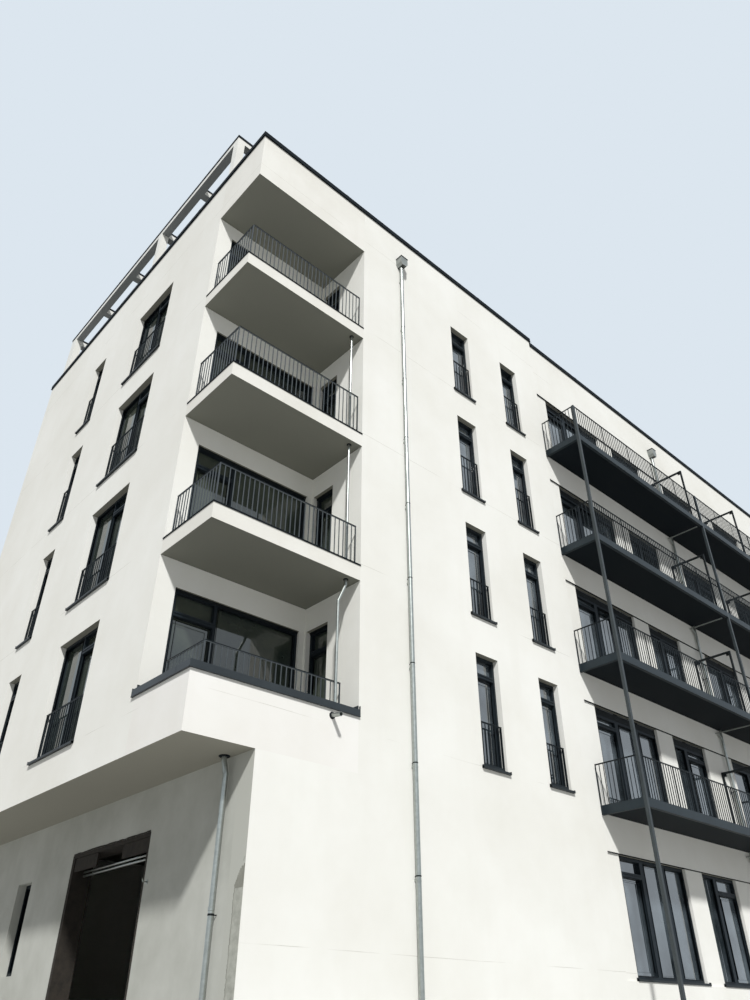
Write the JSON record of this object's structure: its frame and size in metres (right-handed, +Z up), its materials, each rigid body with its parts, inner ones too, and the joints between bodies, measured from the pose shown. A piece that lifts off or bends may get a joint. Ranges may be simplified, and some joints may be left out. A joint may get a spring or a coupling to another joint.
{
  "type": "apartment building",
  "caption": "Corner apartment block with stacked corner loggias, steel balconies on posts, undercut ground storey, flat roof and a roof pergola.",
  "frame": {"origin": "middle of the box round the building, on the ground", "axes": "+X along the street front away from the loggia corner, +Y from the street front to the rear, +Z up"},
  "size_m": [30.03, 13.015, 20.094],
  "materials": {
    "plaster": "fine cream wall plaster, matt",
    "ground_plaster": "weathered wall plaster with patches",
    "white_render": "white render, matt",
    "soffit_render": "grey painted soffit render",
    "concrete_floors": "plain concrete",
    "roof_membrane": "grey roofing sheet",
    "dark_sheet": "dark blue-grey folded sheet",
    "white_paint": "white paint, satin",
    "painted_steel": "grey-blue paint on steel, satin",
    "dark_steel": "near black paint on steel",
    "deck_plate": "black painted underside",
    "window_frame": "anthracite window frames",
    "window_glass": "clear, darkly reflecting",
    "zinc": "weathered zinc and galvanised steel",
    "lining": "rough brown insulation lining"
  },
  "bodies": {
    "root": {"floor_slabs": "concrete_floors", "overhang_slab": "soffit_render", "roof_slab": "roof_membrane", "ground_walls": "plaster", "recess_wall": "ground_plaster", "corner_block_wall": "plaster", "balcony_section_wall": "plaster", "spandrel_bands": "plaster", "side_wall": "plaster", "rear_wall": "plaster", "party_wall": "plaster", "loggia_back_wall": "plaster", "loggia_side_wall": "plaster", "loggia_slabs": "soffit_render", "loggia_edge_sheets": "dark_sheet", "loggia_parapet": "white_render", "parapet_cap": "dark_sheet", "corner_fascia": "plaster", "roof_coping": "dark_sheet", "pergola_posts": "white_paint", "pergola_long_beams": "white_paint", "pergola_cross_beams": "white_paint", "pergola_coping": "dark_sheet", "loggia_railings": "painted_steel", "window_railings": "painted_steel", "window_sills": "dark_sheet", "blind_boxes": "dark_steel", "front_window_frames": "window_frame", "front_window_glass": "window_glass", "side_window_frames": "window_frame", "side_window_glass": "window_glass", "rear_window_frames": "window_frame", "rear_window_glass": "window_glass", "balcony_decks": "deck_plate", "balcony_channels": "painted_steel", "balcony_posts": "painted_steel", "balcony_railings": "painted_steel", "privacy_frames": "dark_steel", "rain_hoppers": "zinc", "downpipes": "zinc", "pipe_brackets": "zinc", "balcony_drains": "zinc", "loggia_drain_pipes": "zinc", "overflow_spout": "zinc", "gate_lining": "lining", "gate_rails": "zinc"}
  },
  "joints": []
}
